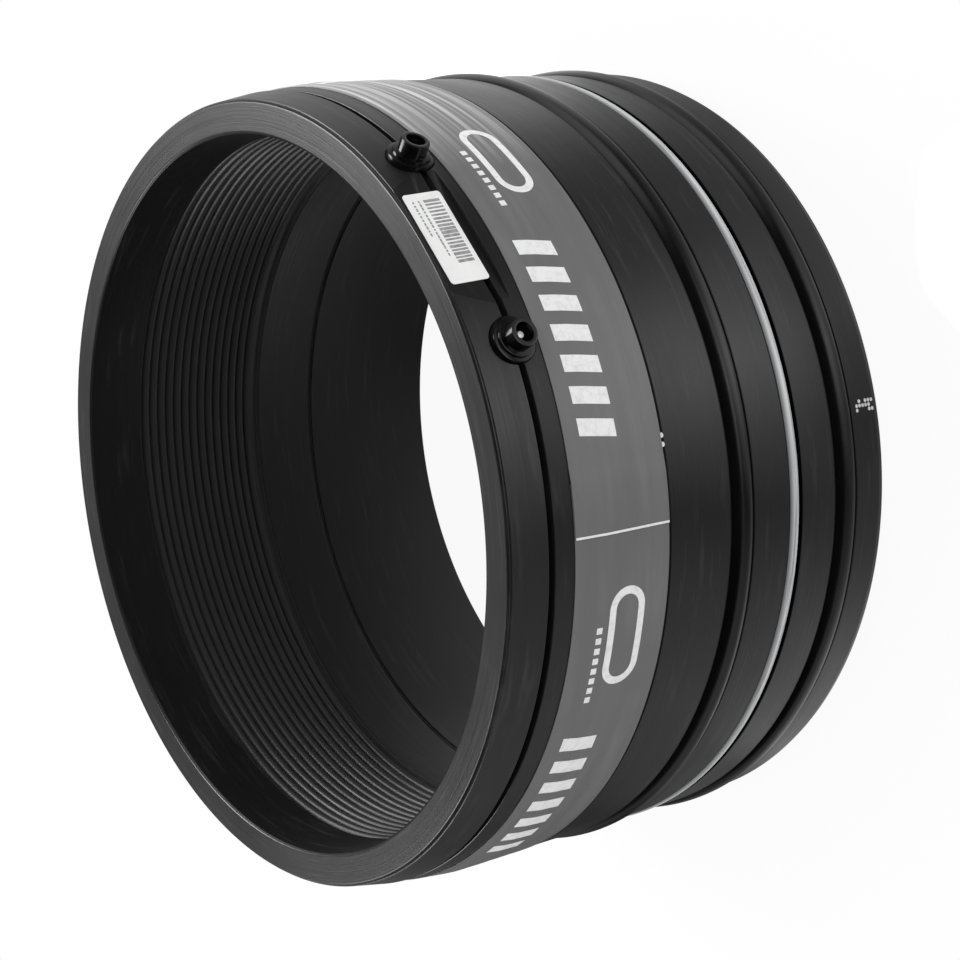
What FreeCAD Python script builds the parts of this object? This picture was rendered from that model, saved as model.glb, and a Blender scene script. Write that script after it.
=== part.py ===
import FreeCAD, Part
import math
import os

# Electrofusion coupler for a 400 mm polyethylene pipe, with a ringed plain end that pushes into a bore.
# The axis is +Z. The ring end stands on z = 0 and the fusion rim is at the top. Millimetres.
# The two terminals face about -Y, with the label's flat between them.

# Bore
pipe_diameter = 400.0
pipe_clearance = 0.5
stop_height = 1.0
socket_depth = 162.3
relief_width = 3.2
relief_depth = 1.8
bore_chamfer = 1.4

# Outside, as wall thicknesses over the bore and distances from the rim
overall_length = 258.0
rim_wall = 18.2
rim_chamfer = 1.0
rim_ring_width = 1.8
rim_step_height = 0.6
band_end_wall = 22.7
barrel_wall = 25.8
barrel_from_rim = 54.7
lead_groove_from_rim = 21.9
lead_groove_width = 3.7
lead_groove_depth = 6.4
end_chamfer_length = 4.0
end_chamfer_depth = 1.4
end_bore_chamfer = 1.0

# Heating coil and its recess in the bore
coil_from_rim = 35.6
coil_recess_width = 88.2
coil_recess_depth = 3.3
coil_turns = 14
coil_ridge_height = 3.0
coil_ridge_width = 5.0
coil_crest_width = 2.2
coil_end_gap = 1.0

# Terminals, each a shroud with a contact pin
terminals_angle = -89.5
terminal_spacing = 30.2
terminal_from_rim = 23.4
terminal_seat_depth = 2.6
terminal_seat_clearance = 0.4
flange_radius = 12.3
flange_thickness = 4.2
step_radius = 10.2
step_thickness = 1.8
shroud_radius = 7.6
shroud_height = 7.1
shroud_bore_radius = 5.0
shroud_floor_thickness = 1.7
shroud_edge_chamfer = 0.5
pin_radius = 2.0
pin_root_radius = 2.6
pin_depth_in_wall = 6.0
pin_below_mouth = 3.6
pin_chamfer = 0.5
mould_gap = 0.05

# Leads from the coil to the pins, moulded into the wall
lead_radius = 1.0
coil_end_lead_depth = 2.1
return_lead_depth = 6.0
return_lead_overrun = 3.0

# Label and its flat, which starts under the rim ring and leans with the taper of the rim band
label_angle = -88.3
flat_depth = 1.9
flat_height = 28.4
flat_lean = 6.0
label_length = 57.0
label_width = 22.2
label_thickness = 0.25
label_corner = 2.0
label_from_ring = 2.4

# How far a cutting tool runs on past the surface
cut_overrun = 5.0

# Printed tape
tape_from_rim = 37.0
tape_width = 60.0
tape_thickness = 0.5
tape_lap_angle = 7.0
tape_end_angle = -130.5

# Rings on the ring end: heights of the groove middles, then sizes
rear_seal_height = 30.1
front_seal_height = 108.1
seal_groove_width = 16.2
seal_groove_depth = 4.5
seal_side_gap = 0.3
seal_shoulder_depth = 2.2
seal_height = 7.4
marker_height = 68.9
marker_groove_width = 8.6
marker_groove_depth = 4.0
marker_width = 6.2
marker_side_gap = 0.2
marker_shoulder_depth = 0.3
marker_thickness = 4.8

# Radii and heights that follow from the sizes above
bore_radius = pipe_diameter / 2 + pipe_clearance
far_bore_radius = bore_radius - stop_height
rim_radius = bore_radius + rim_wall
band_end_radius = bore_radius + band_end_wall
barrel_radius = bore_radius + barrel_wall
lead_groove_top = overall_length - lead_groove_from_rim
lead_groove_bottom = lead_groove_top - lead_groove_width
barrel_top = overall_length - barrel_from_rim
recess_radius = bore_radius + coil_recess_depth
recess_top = overall_length - coil_from_rim
recess_bottom = recess_top - coil_recess_width
relief_bottom = overall_length - socket_depth - relief_width
flat_radius = rim_radius - flat_depth
flat_top = overall_length - rim_ring_width
terminal_height = overall_length - terminal_from_rim
terminal_seat_radius = band_end_radius - terminal_seat_depth
terminal_angles = {
    "a": terminals_angle - terminal_spacing / 2,
    "b": terminals_angle + terminal_spacing / 2,
}
shroud_floor_radius = terminal_seat_radius + shroud_floor_thickness
flange_top_radius = terminal_seat_radius + flange_thickness
step_top_radius = flange_top_radius + step_thickness
mouth_radius = step_top_radius + shroud_height
pin_foot_radius = terminal_seat_radius - pin_depth_in_wall
coil_top = recess_top - coil_end_gap
coil_bottom = recess_bottom + coil_end_gap

axis = FreeCAD.Vector(0, 0, 1)
origin = FreeCAD.Vector(0, 0, 0)


def turned(stops):
    """Solid turned about the axis from (radius, height) stops; a pair of stops is an arc through the first."""
    points = []
    edges = []
    for stop in stops + stops[:1]:
        pair = stop if isinstance(stop[0], tuple) else (stop,)
        points.append([FreeCAD.Vector(radius, 0, height) for radius, height in pair])
    for before, after in zip(points, points[1:]):
        if len(after) == 1:
            edges.append(Part.makeLine(before[-1], after[0]))
        else:
            edges.append(Part.Arc(before[-1], after[0], after[1]).toShape())
    return Part.Face(Part.Wire(edges)).revolve(origin, axis, 360)


def pointing_out(shape, angle, height):
    """Lay a shape that was built along the axis, so that it points outwards at an angle and height."""
    placed = shape.copy()
    placed.rotate(origin, FreeCAD.Vector(0, 1, 0), 90)
    placed.rotate(origin, axis, angle)
    placed.translate(FreeCAD.Vector(0, 0, height))
    return placed


def groove(middle, width, depth):
    """Profile points of a square groove in the barrel, from its upper edge to its lower edge."""
    floor_radius = barrel_radius - depth
    return [
        (barrel_radius, middle + width / 2),
        (floor_radius, middle + width / 2),
        (floor_radius, middle - width / 2),
        (barrel_radius, middle - width / 2),
    ]


def body_profile():
    """Half section of the body: over the rim, down the outside, round the end and up the bore."""
    outside = [
        (bore_radius + bore_chamfer, overall_length),
        (rim_radius - rim_chamfer, overall_length),
        (rim_radius, overall_length - rim_chamfer),
        (rim_radius, flat_top),
        (rim_radius + rim_step_height, flat_top),
        (band_end_radius, lead_groove_top),
        (band_end_radius - lead_groove_depth, lead_groove_top),
        (band_end_radius - lead_groove_depth, lead_groove_bottom),
        (band_end_radius, lead_groove_bottom),
        (barrel_radius, barrel_top),
    ]
    rings = groove(front_seal_height, seal_groove_width, seal_groove_depth)
    rings += groove(marker_height, marker_groove_width, marker_groove_depth)
    rings += groove(rear_seal_height, seal_groove_width, seal_groove_depth)
    inside = [
        (barrel_radius, end_chamfer_length),
        (barrel_radius - end_chamfer_depth, 0),
        (far_bore_radius + end_bore_chamfer, 0),
        (far_bore_radius, end_bore_chamfer),
        (far_bore_radius, relief_bottom),
        (bore_radius + relief_depth, relief_bottom),
        (bore_radius, relief_bottom + relief_width),
        (bore_radius, recess_bottom),
        (recess_radius, recess_bottom),
        (recess_radius, recess_top),
        (bore_radius, recess_top),
        (bore_radius, overall_length - bore_chamfer),
    ]
    return outside + rings + inside


def terminal_pocket():
    """Spot face for a shroud's flange with the hole for the pin, both cut from outside."""
    seat = Part.makeCylinder(
        flange_radius + terminal_seat_clearance,
        terminal_seat_depth + cut_overrun,
        FreeCAD.Vector(0, 0, terminal_seat_radius),
    )
    hole = Part.makeCylinder(
        pin_root_radius + mould_gap,
        pin_depth_in_wall + cut_overrun,
        FreeCAD.Vector(0, 0, pin_foot_radius - mould_gap),
    )
    return seat.fuse(hole)


def label_flat_cut():
    """Block that planes the leaning flat for the label into the rim band, below the rim ring."""
    half_length = math.sqrt(band_end_radius ** 2 - flat_radius ** 2) + cut_overrun
    depth = band_end_radius - flat_radius + cut_overrun
    lean = flat_height * math.tan(math.radians(flat_lean))
    corners = [
        FreeCAD.Vector(-half_length, -flat_radius, flat_top),
        FreeCAD.Vector(-half_length, -flat_radius - depth, flat_top),
        FreeCAD.Vector(-half_length, -flat_radius - depth, flat_top - flat_height),
        FreeCAD.Vector(-half_length, -flat_radius - lean, flat_top - flat_height),
    ]
    block = Part.Face(Part.makePolygon(corners + corners[:1])).extrude(FreeCAD.Vector(2 * half_length, 0, 0))
    block.rotate(origin, axis, label_angle + 90)
    return block


def lead_path(terminal, stops):
    """Points of a lead in the plane of its terminal, from (radius, height) stops."""
    angle = math.radians(terminal_angles[terminal])
    outward = FreeCAD.Vector(math.cos(angle), math.sin(angle), 0)
    return [outward * radius + axis * height for radius, height in stops]


def wire_along(points, radius):
    """Round wire swept along straight runs with mitred bends."""
    section = Part.Wire(Part.makeCircle(radius, points[0], points[1] - points[0]))
    return Part.makePolygon(points).makePipeShell([section], True, False, 1)


def start_lead_points():
    """From the foot of pin a, inwards and then down to the upper end of the coil."""
    run_radius = bore_radius + coil_end_lead_depth
    return lead_path("a", [
        (pin_foot_radius - mould_gap, terminal_height),
        (run_radius, terminal_height),
        (run_radius, coil_top + mould_gap),
    ])


def return_lead_points():
    """From the foot of pin b, down behind the coil and up to its lower end."""
    run_radius = bore_radius + return_lead_depth
    end_radius = bore_radius + coil_end_lead_depth
    turn_height = recess_bottom - return_lead_overrun
    return lead_path("b", [
        (pin_foot_radius - mould_gap, terminal_height),
        (run_radius, terminal_height),
        (run_radius, turn_height),
        (end_radius, turn_height),
        (end_radius, coil_bottom - mould_gap),
    ])


def socket_body():
    """Turned polyethylene body with its label flat, terminal seats and moulded lead channels."""
    body = turned(body_profile()).cut(label_flat_cut())
    for angle in terminal_angles.values():
        body = body.cut(pointing_out(terminal_pocket(), angle, terminal_height))
    for points in (start_lead_points(), return_lead_points()):
        body = body.cut(wire_along(points, lead_radius + mould_gap))
    return body


def heating_coil():
    """Coated resistance wire laid in the recess as one helical ridge, from terminal b up to terminal a."""
    turns = coil_turns - terminal_spacing / 360
    rise = coil_top - coil_bottom - coil_ridge_width
    foot_radius = recess_radius - mould_gap
    crest_radius = foot_radius - coil_ridge_height
    corners = [
        FreeCAD.Vector(foot_radius, 0, -coil_ridge_width / 2),
        FreeCAD.Vector(crest_radius, 0, -coil_crest_width / 2),
        FreeCAD.Vector(crest_radius, 0, coil_crest_width / 2),
        FreeCAD.Vector(foot_radius, 0, coil_ridge_width / 2),
    ]
    section = Part.makePolygon(corners + corners[:1])
    path = Part.makeHelix(rise / turns, rise, foot_radius)
    ridge = path.makePipeShell([section], True, True)
    ridge.rotate(origin, axis, terminal_angles["b"])
    ridge.translate(axis * (coil_bottom + coil_ridge_width / 2))
    return ridge


def ring_edges(shape, radius, height):
    """Round edges of a turned shape that have this radius and lie at this height."""
    circles = [edge for edge in shape.Edges if isinstance(edge.Curve, Part.Circle)]
    return [
        edge for edge in circles
        if abs(edge.Curve.Radius - radius) < 1e-6 and abs(edge.Curve.Center.z - height) < 1e-6
    ]


def terminal_shroud():
    """Stepped socket round a contact pin, turned about the pin, its outer edges chamfered."""
    pin_hole = pin_root_radius + mould_gap
    shroud = turned([
        (pin_hole, terminal_seat_radius),
        (flange_radius, terminal_seat_radius),
        (flange_radius, flange_top_radius),
        (step_radius, flange_top_radius),
        (step_radius, step_top_radius),
        (shroud_radius, step_top_radius),
        (shroud_radius, mouth_radius),
        (shroud_bore_radius, mouth_radius),
        (shroud_bore_radius, shroud_floor_radius),
        (pin_hole, shroud_floor_radius),
    ])
    outer_edges = ring_edges(shroud, flange_radius, flange_top_radius)
    outer_edges += ring_edges(shroud, step_radius, step_top_radius)
    outer_edges += ring_edges(shroud, shroud_radius, mouth_radius)
    return shroud.makeChamfer(shroud_edge_chamfer, outer_edges)


def contact_pin():
    """Pin with a thick root moulded in up to the shroud's floor, and a free end with a chamfered tip."""
    tip = mouth_radius - pin_below_mouth
    return turned([
        (0, pin_foot_radius),
        (pin_root_radius, pin_foot_radius),
        (pin_root_radius, shroud_floor_radius),
        (pin_radius, shroud_floor_radius),
        (pin_radius, tip - pin_chamfer),
        (pin_radius - pin_chamfer, tip),
        (0, tip),
    ])


def tape_profile(lift):
    """Section of one layer of tape over the taper and the barrel, lifted off the wall."""
    top = overall_length - tape_from_rim
    bottom = top - tape_width
    slope = (barrel_radius - band_end_radius) / (lead_groove_bottom - barrel_top)
    top_radius = barrel_radius - slope * (top - barrel_top)
    under = [(top_radius, top), (barrel_radius, barrel_top), (barrel_radius, bottom)]
    inner = [(radius + lift, height) for radius, height in under]
    outer = [(radius + tape_thickness, height) for radius, height in reversed(inner)]
    return inner + outer


def wrap_tape():
    """Printed tape wound once round the fusion zone, with its end lapped over its start."""
    corners = [FreeCAD.Vector(radius, 0, height) for radius, height in tape_profile(tape_thickness)]
    section = Part.Face(Part.makePolygon(corners + corners[:1]))
    lap = section.revolve(origin, axis, tape_lap_angle)
    lap.rotate(origin, axis, tape_end_angle)
    return turned(tape_profile(0)).fuse(lap).removeSplitter()


def barcode_label():
    """Rounded label stuck on the flat between the terminals, across the lead groove."""
    label = Part.makeBox(
        label_length,
        label_thickness,
        label_width,
        FreeCAD.Vector(-label_length / 2, -label_thickness, -label_from_ring - label_width),
    )
    corners = [edge for edge in label.Edges if abs(edge.Length - label_thickness) < 1e-6]
    label = label.makeFillet(label_corner, corners)
    label.rotate(origin, FreeCAD.Vector(1, 0, 0), -flat_lean)
    label.translate(FreeCAD.Vector(0, -flat_radius, flat_top))
    label.rotate(origin, axis, label_angle + 90)
    return label


def crowned_ring(bottom, top, floor_radius, shoulder_radius, crest_radius):
    """Ring with a flat foot, straight sides up to its shoulders and a rounded crown."""
    return turned([
        (floor_radius, top),
        (floor_radius, bottom),
        (shoulder_radius, bottom),
        ((crest_radius, (bottom + top) / 2), (shoulder_radius, top)),
    ])


def seal_ring(middle):
    """Rubber ring in its groove, its crown standing proud between shoulders below the barrel."""
    half_width = seal_groove_width / 2 - seal_side_gap
    floor_radius = barrel_radius - seal_groove_depth
    return crowned_ring(
        middle - half_width,
        middle + half_width,
        floor_radius,
        barrel_radius - seal_shoulder_depth,
        floor_radius + seal_height,
    )


def marker_ring():
    """Light cord in the middle groove, pushed against the groove's front wall."""
    top = marker_height + marker_groove_width / 2 - marker_side_gap
    floor_radius = barrel_radius - marker_groove_depth
    return crowned_ring(
        top - marker_width,
        top,
        floor_radius,
        barrel_radius - marker_shoulder_depth,
        floor_radius + marker_thickness,
    )


pieces = {
    "socket_body": socket_body(),
    "heating_coil": heating_coil(),
    "coil_lead_start": wire_along(start_lead_points(), lead_radius),
    "coil_lead_return": wire_along(return_lead_points(), lead_radius),
    "wrap_tape": wrap_tape(),
    "barcode_label": barcode_label(),
    "seal_ring_front": seal_ring(front_seal_height),
    "seal_ring_rear": seal_ring(rear_seal_height),
    "marker_ring": marker_ring(),
}
for letter, angle in terminal_angles.items():
    pieces["terminal_shroud_" + letter] = pointing_out(terminal_shroud(), angle, terminal_height)
    pieces["contact_pin_" + letter] = pointing_out(contact_pin(), angle, terminal_height)

os.makedirs("parts", exist_ok=True)
for name, shape in pieces.items():
    shape.exportStep("parts/" + name + ".step")
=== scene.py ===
import bmesh
import bpy
import math
from mathutils import Matrix, Quaternion, Vector


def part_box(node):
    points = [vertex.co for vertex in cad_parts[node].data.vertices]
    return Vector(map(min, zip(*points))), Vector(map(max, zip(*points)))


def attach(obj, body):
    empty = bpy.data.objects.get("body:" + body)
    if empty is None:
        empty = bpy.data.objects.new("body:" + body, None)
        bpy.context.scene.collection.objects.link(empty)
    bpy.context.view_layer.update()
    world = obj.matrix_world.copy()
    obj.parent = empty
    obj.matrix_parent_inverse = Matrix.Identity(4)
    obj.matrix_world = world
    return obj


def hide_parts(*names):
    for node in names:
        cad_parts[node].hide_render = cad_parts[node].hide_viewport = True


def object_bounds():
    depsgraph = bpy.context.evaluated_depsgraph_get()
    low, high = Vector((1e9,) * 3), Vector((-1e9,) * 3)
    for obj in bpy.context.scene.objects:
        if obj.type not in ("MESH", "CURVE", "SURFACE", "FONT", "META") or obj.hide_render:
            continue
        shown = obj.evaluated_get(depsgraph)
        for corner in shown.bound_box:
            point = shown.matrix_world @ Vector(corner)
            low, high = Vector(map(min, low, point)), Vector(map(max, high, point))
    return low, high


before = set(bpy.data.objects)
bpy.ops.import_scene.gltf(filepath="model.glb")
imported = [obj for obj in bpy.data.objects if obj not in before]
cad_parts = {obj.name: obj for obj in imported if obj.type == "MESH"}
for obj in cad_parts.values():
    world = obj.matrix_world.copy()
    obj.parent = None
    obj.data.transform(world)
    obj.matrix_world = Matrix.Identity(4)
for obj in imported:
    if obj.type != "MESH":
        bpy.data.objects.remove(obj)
cad_low, cad_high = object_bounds()


# Socket body: one thick ring of black polyethylene that carries every other piece.
# It is moulded and then turned on its rim, its outside and its bores. A flat for the label and two
# spot faces for the terminals are cut into its rim band.
bore_radius = 0.2005
far_bore_radius = 0.1995
recess_radius = 0.2038
relief_radius = 0.2012
rim_radius = 0.2187
rim_ring_step = 0.0006
band_end_radius = 0.2232
lead_groove_floor = 0.2168
barrel_radius = 0.2263
seal_groove_floor = 0.2218
marker_groove_floor = 0.2223
rim_height = cad_high.z
rim_ring_foot = rim_height - 0.0018
lead_groove_top = rim_height - 0.0219
lead_groove_foot = lead_groove_top - 0.0037
barrel_top = rim_height - 0.0547
recess_top = rim_height - 0.0356
recess_foot = recess_top - 0.0882
relief_top = rim_height - 0.1623
relief_foot = relief_top - 0.0032
seal_groove_width = 0.0162
front_seal_middle = 0.1081
rear_seal_middle = 0.0301
marker_middle = 0.0689
marker_groove_width = 0.0086
bore_mouth_chamfer = 0.0014
rim_chamfer = 0.0010
end_chamfer_height = 0.0040
end_chamfer_depth = 0.0014
far_bore_chamfer = 0.0010
groove_upper_edge = 0.0014
seal_groove_lower_edge = 0.0007
marker_groove_lower_edge = 0.0010
inside_corner = 0.0002
fine_edge = 0.0003
turned_edge = 0.0004
handled_edge = 0.0005
body_steps = 480
body_crispness = 5
flat_radius = 0.2168
flat_height = 0.0284
flat_lean = math.radians(6.0)
flat_turn = math.radians(1.7)
flat_cut_depth = 0.0120
flat_cut_reach = 0.0600
terminal_height = 0.2346
terminal_angles = {"a": math.radians(-104.6), "b": math.radians(-74.4)}
terminal_seat_radius = 0.2206
terminal_pocket_radius = 0.0127
terminal_pocket_depth = 0.0160
terminal_pocket_middle = terminal_seat_radius + terminal_pocket_depth / 2
terminal_pocket_steps = 72
# Painted shadow: a dark line painted on the barrel just under the tape's lower edge.
tape_shadow_middle = 0.1599
tape_shadow_half = 0.00088
tape_shadow_fade = 0.00044
marker_slot_reach = marker_groove_width / 2 + 0.0006
# Painted light: from this height up, the bore's recess is painted lighter to lift the shade between the
# coil turns.
recess_light_from_height = 0.0200
body_black = (0.0095, 0.0095, 0.0100, 1)
body_scuffed = (0.0420, 0.0420, 0.0425, 1)
# Painted light colour for the bore's recess.
body_recess_painted_light = (0.0420, 0.0420, 0.0425, 1)
# Painted shade colour, for the line under the tape and for the marker's groove.
body_painted_shade = (0.0015, 0.0015, 0.0016, 1)
body_roughness = (0.28, 0.38)
body_cloudiness = (-0.03, 0.04)
body_shine = (0.50, 0.08)
noise_span = (0.3, 0.7)
narrow_span = (0.35, 0.65)
mask_margin = 0.0002
mask_fade = 0.0004
mask_wide_fade = 0.0010


def eased(corners):
    """Section points from (radius, height, easing) corners, each corner rounded by a short curve."""
    points = []
    for index, (radius, height, easing) in enumerate(corners):
        corner = Vector((radius, height))
        before = Vector(corners[index - 1][:2]) - corner
        after = Vector(corners[(index + 1) % len(corners)][:2]) - corner
        start = corner + before.normalized() * min(easing, before.length * 0.45)
        end = corner + after.normalized() * min(easing, after.length * 0.45)
        if easing:
            points += [start, start * 0.25 + corner * 0.5 + end * 0.25, end]
        else:
            points.append(corner)
    return points


def turned_mesh(name, section, steps, crispness):
    """Closed mesh of a section of (radius, height) points turned about the axis."""
    rows = len(section)
    points = []
    faces = []
    for step in range(steps):
        turn = 2 * math.pi * step / steps
        points += [(r * math.cos(turn), r * math.sin(turn), h) for r, h in section]
        here = step * rows
        there = (step + 1) % steps * rows
        for row in range(rows):
            below = (row + 1) % rows
            faces.append((here + row, here + below, there + below, there + row))
    mesh = bpy.data.meshes.new(name)
    mesh.from_pydata(points, [], faces)
    tidied(mesh, crispness)
    return mesh


def tidied(mesh, crispness):
    """Merge doubles, point the faces outwards and keep edges sharp from so many degrees up."""
    work = bmesh.new()
    work.from_mesh(mesh)
    bmesh.ops.remove_doubles(work, verts=work.verts, dist=1e-6)
    bmesh.ops.recalc_face_normals(work, faces=work.faces)
    work.to_mesh(mesh)
    work.free()
    mesh.shade_smooth()
    mesh.set_sharp_from_angle(angle=math.radians(crispness))


def mesh_of(name, work):
    """New mesh from a bmesh, which is used up."""
    mesh = bpy.data.meshes.new(name)
    work.to_mesh(mesh)
    work.free()
    return mesh


def placed(name, data):
    """New object at the origin with this mesh, lamp or camera."""
    piece = bpy.data.objects.new(name, data)
    bpy.context.scene.collection.objects.link(piece)
    return piece


def lifted(height):
    """Matrix that moves a shape up the axis."""
    return Matrix.Translation((0, 0, height))


def pointing_out(angle, height):
    """Matrix that lays a shape turned about +Z so that it points outwards at an angle and height."""
    return lifted(height) @ Matrix.Rotation(angle, 4, "Z") @ Matrix.Rotation(math.pi / 2, 4, "Y")


def pushed(work, grown_parts, way):
    """Move the corners that an extrusion has made."""
    moved = [part for part in grown_parts if isinstance(part, bmesh.types.BMVert)]
    bmesh.ops.translate(work, vec=way, verts=moved)


def plain(piece):
    """Turn a piece's modifiers into its mesh."""
    bpy.context.view_layer.update()
    seen = piece.evaluated_get(bpy.context.evaluated_depsgraph_get())
    mesh = bpy.data.meshes.new_from_object(seen)
    piece.modifiers.clear()
    piece.data = mesh
    mesh.name = piece.name


def cut_away(piece, cutter_mesh):
    """Take a cutter's volume out of a piece and leave a plain mesh."""
    cutter = placed("cutter", cutter_mesh)
    cut = piece.modifiers.new("cut", "BOOLEAN")
    cut.operation = "DIFFERENCE"
    cut.solver = "EXACT"
    cut.object = cutter
    plain(piece)
    bpy.data.objects.remove(cutter)


def fill(tree, node, *sockets):
    """Fill or wire a node's (socket, value) pairs."""
    for key, value in sockets:
        if isinstance(value, bpy.types.NodeSocket):
            tree.links.new(value, node.inputs[key])
        else:
            node.inputs[key].default_value = value


def add(tree, kind, *sockets, **settings):
    """New node with its settings and its filled sockets."""
    made = tree.nodes.new(kind)
    for key, value in settings.items():
        setattr(made, key, value)
    fill(tree, made, *sockets)
    return made


def bare_material(name):
    """New material with an empty node tree."""
    material = bpy.data.materials.new(name)
    material.use_nodes = True
    material.node_tree.nodes.clear()
    return material, material.node_tree


def finish_of(name):
    """New material to be finished: itself, its tree and its object coordinates."""
    material, tree = bare_material(name)
    return material, tree, add(tree, "ShaderNodeTexCoord").outputs["Object"]


def finished(material, colour, roughness, relief=None, strength=0.0, depth=0.0, others=()):
    """Give a material its shader with a colour, a roughness, a fine relief and (socket, value) pairs."""
    tree = material.node_tree
    sockets = (("Base Color", colour), ("Roughness", roughness))
    surface = add(tree, "ShaderNodeBsdfPrincipled", *sockets, *others)
    if relief:
        bump = add(tree, "ShaderNodeBump", ("Height", relief), ("Strength", strength), ("Distance", depth))
        fill(tree, surface, ("Normal", bump.outputs["Normal"]))
    add(tree, "ShaderNodeOutputMaterial", ("Surface", surface.outputs["BSDF"]))
    return material


def noise_on(tree, place, scale, detail, roughness=0.5, part="Fac"):
    """Noise at a place, as one value or as a colour."""
    sockets = (("Vector", place), ("Scale", scale), ("Detail", detail), ("Roughness", roughness))
    return add(tree, "ShaderNodeTexNoise", *sockets).outputs[part]


def ranged(tree, value, low, high, new_low=0.0, new_high=1.0):
    """Map a value from one range to another, clamped."""
    before = (("Value", value), ("From Min", low), ("From Max", high))
    after = (("To Min", new_low), ("To Max", new_high))
    return add(tree, "ShaderNodeMapRange", *before, *after).outputs["Result"]


def past(tree, value, edge, fade):
    """1 where a value is past an edge and its fade, 0 short of the edge."""
    return ranged(tree, value, edge, edge + fade)


def short_of(tree, value, edge, fade):
    """1 where a value is short of an edge, 0 past the edge and its fade."""
    return ranged(tree, value, edge, edge + fade, 1.0, 0.0)


def between(tree, amount, ends):
    """Value between two ends by an amount."""
    return ranged(tree, amount, 0.0, 1.0, *ends)


def tinted(tree, amount, first, second):
    """Blend of two colours by an amount."""
    sockets = ((0, amount), (6, first), (7, second))
    return add(tree, "ShaderNodeMix", *sockets, data_type="RGBA").outputs[2]


def blended(tree, amount, first, second):
    """Blend of two values by an amount."""
    return add(tree, "ShaderNodeMix", (0, amount), (2, first), (3, second)).outputs[0]


def sums(tree, operation, first, second=0.0):
    """One sum of one or two values."""
    return add(tree, "ShaderNodeMath", (0, first), (1, second), operation=operation).outputs[0]


def product(tree, first, *factors):
    """Product of values."""
    for factor in factors:
        first = sums(tree, "MULTIPLY", first, factor)
    return first


def away_from(tree, value, middle):
    """Distance of a value from a middle."""
    return sums(tree, "ABSOLUTE", sums(tree, "SUBTRACT", value, middle))


def split(tree, place):
    """X, Y and Z of a place."""
    return add(tree, "ShaderNodeSeparateXYZ", ("Vector", place)).outputs


def point(tree, x=0.0, y=0.0, z=0.0):
    """Place with these coordinates."""
    return add(tree, "ShaderNodeCombineXYZ", ("X", x), ("Y", y), ("Z", z)).outputs[0]


def across_and_up(tree, place):
    """Distance from the axis and height of a place."""
    sockets = ((0, place), (1, (1.0, 1.0, 0.0)))
    flat = add(tree, "ShaderNodeVectorMath", *sockets, operation="MULTIPLY").outputs[0]
    radius = add(tree, "ShaderNodeVectorMath", (0, flat), operation="LENGTH").outputs["Value"]
    return radius, split(tree, place)["Z"]


def turning_marks(tree, place, around, across):
    """Noise drawn out round the axis, as a lathe tool leaves it on faces and cylinders alike."""
    radius, height = across_and_up(tree, place)
    parts = split(tree, place)
    rows = product(tree, sums(tree, "ADD", radius, height), across)
    drawn = point(tree, product(tree, parts["X"], around), product(tree, parts["Y"], around), rows)
    return noise_on(tree, drawn, scale=1.0, detail=4.0, roughness=0.6)


def black_polyethylene():
    """Satin black plastic with turning marks, cloudy sheen and a few scuffs. The bore's recess is painted
    lighter, painted light that lifts the shade between the coil turns; the marker's groove and a line along
    the tape's lower edge are painted dark as painted shade, with less shine in the groove."""
    material, tree, place = finish_of("black_polyethylene")
    radius, height = across_and_up(tree, place)
    marks = turning_marks(tree, place, around=7.0, across=900.0)
    clouds = noise_on(tree, place, scale=14.0, detail=3.0)
    scuffs = ranged(tree, turning_marks(tree, place, around=24.0, across=260.0), low=0.56, high=0.74)
    # Painted light: a mask over the bore's recess, where the colour is painted lighter.
    painted_light_in_recess = product(
        tree,
        past(tree, radius, bore_radius + mask_margin, mask_fade),
        short_of(tree, radius, recess_radius + mask_wide_fade, mask_wide_fade),
        short_of(tree, height, recess_top, mask_margin),
        past(tree, height, recess_light_from_height, mask_wide_fade),
    )
    # Painted shadow under the tape's lower edge.
    shadow_under_tape = product(
        tree,
        short_of(tree, away_from(tree, height, tape_shadow_middle), tape_shadow_half, tape_shadow_fade),
        past(tree, radius, barrel_radius - 2 * mask_wide_fade, mask_wide_fade),
    )
    # Painted shade in the marker's groove beside the cord, with less shine there too.
    shade_in_marker_groove = product(
        tree,
        short_of(tree, away_from(tree, height, marker_middle), marker_slot_reach, mask_fade),
        short_of(tree, radius, barrel_radius - mask_margin, mask_margin / 2),
        past(tree, radius, lead_groove_floor, mask_wide_fade),
    )
    # Both painted shade masks together.
    painted_shade = sums(tree, "MAXIMUM", shadow_under_tape, shade_in_marker_groove)
    colour = tinted(tree, product(tree, scuffs, clouds), body_black, body_scuffed)
    # Painted light in the bore's recess.
    colour = tinted(tree, painted_light_in_recess, colour, body_recess_painted_light)
    colour = tinted(tree, painted_shade, colour, body_painted_shade)
    drawn = ranged(tree, marks, *noise_span, *body_roughness)
    cloudy = ranged(tree, clouds, *narrow_span, *body_cloudiness)
    roughness = sums(tree, "MAXIMUM", sums(tree, "ADD", drawn, cloudy), painted_shade)
    shine = between(tree, shade_in_marker_groove, body_shine)
    grain = product(tree, noise_on(tree, place, scale=1500.0, detail=2.0), 0.25)
    relief = sums(tree, "ADD", marks, grain)
    others = [("Specular IOR Level", shine)]
    return finished(material, colour, roughness, relief, strength=0.6, depth=0.00013, others=others)


def outer_groove(middle, width, floor, lower_edge):
    """Corners of a square groove in the barrel, from its upper edge down."""
    upper = middle + width / 2
    lower = middle - width / 2
    return [
        (barrel_radius, upper, groove_upper_edge), (floor, upper, inside_corner),
        (floor, lower, inside_corner), (barrel_radius, lower, lower_edge),
    ]


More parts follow.
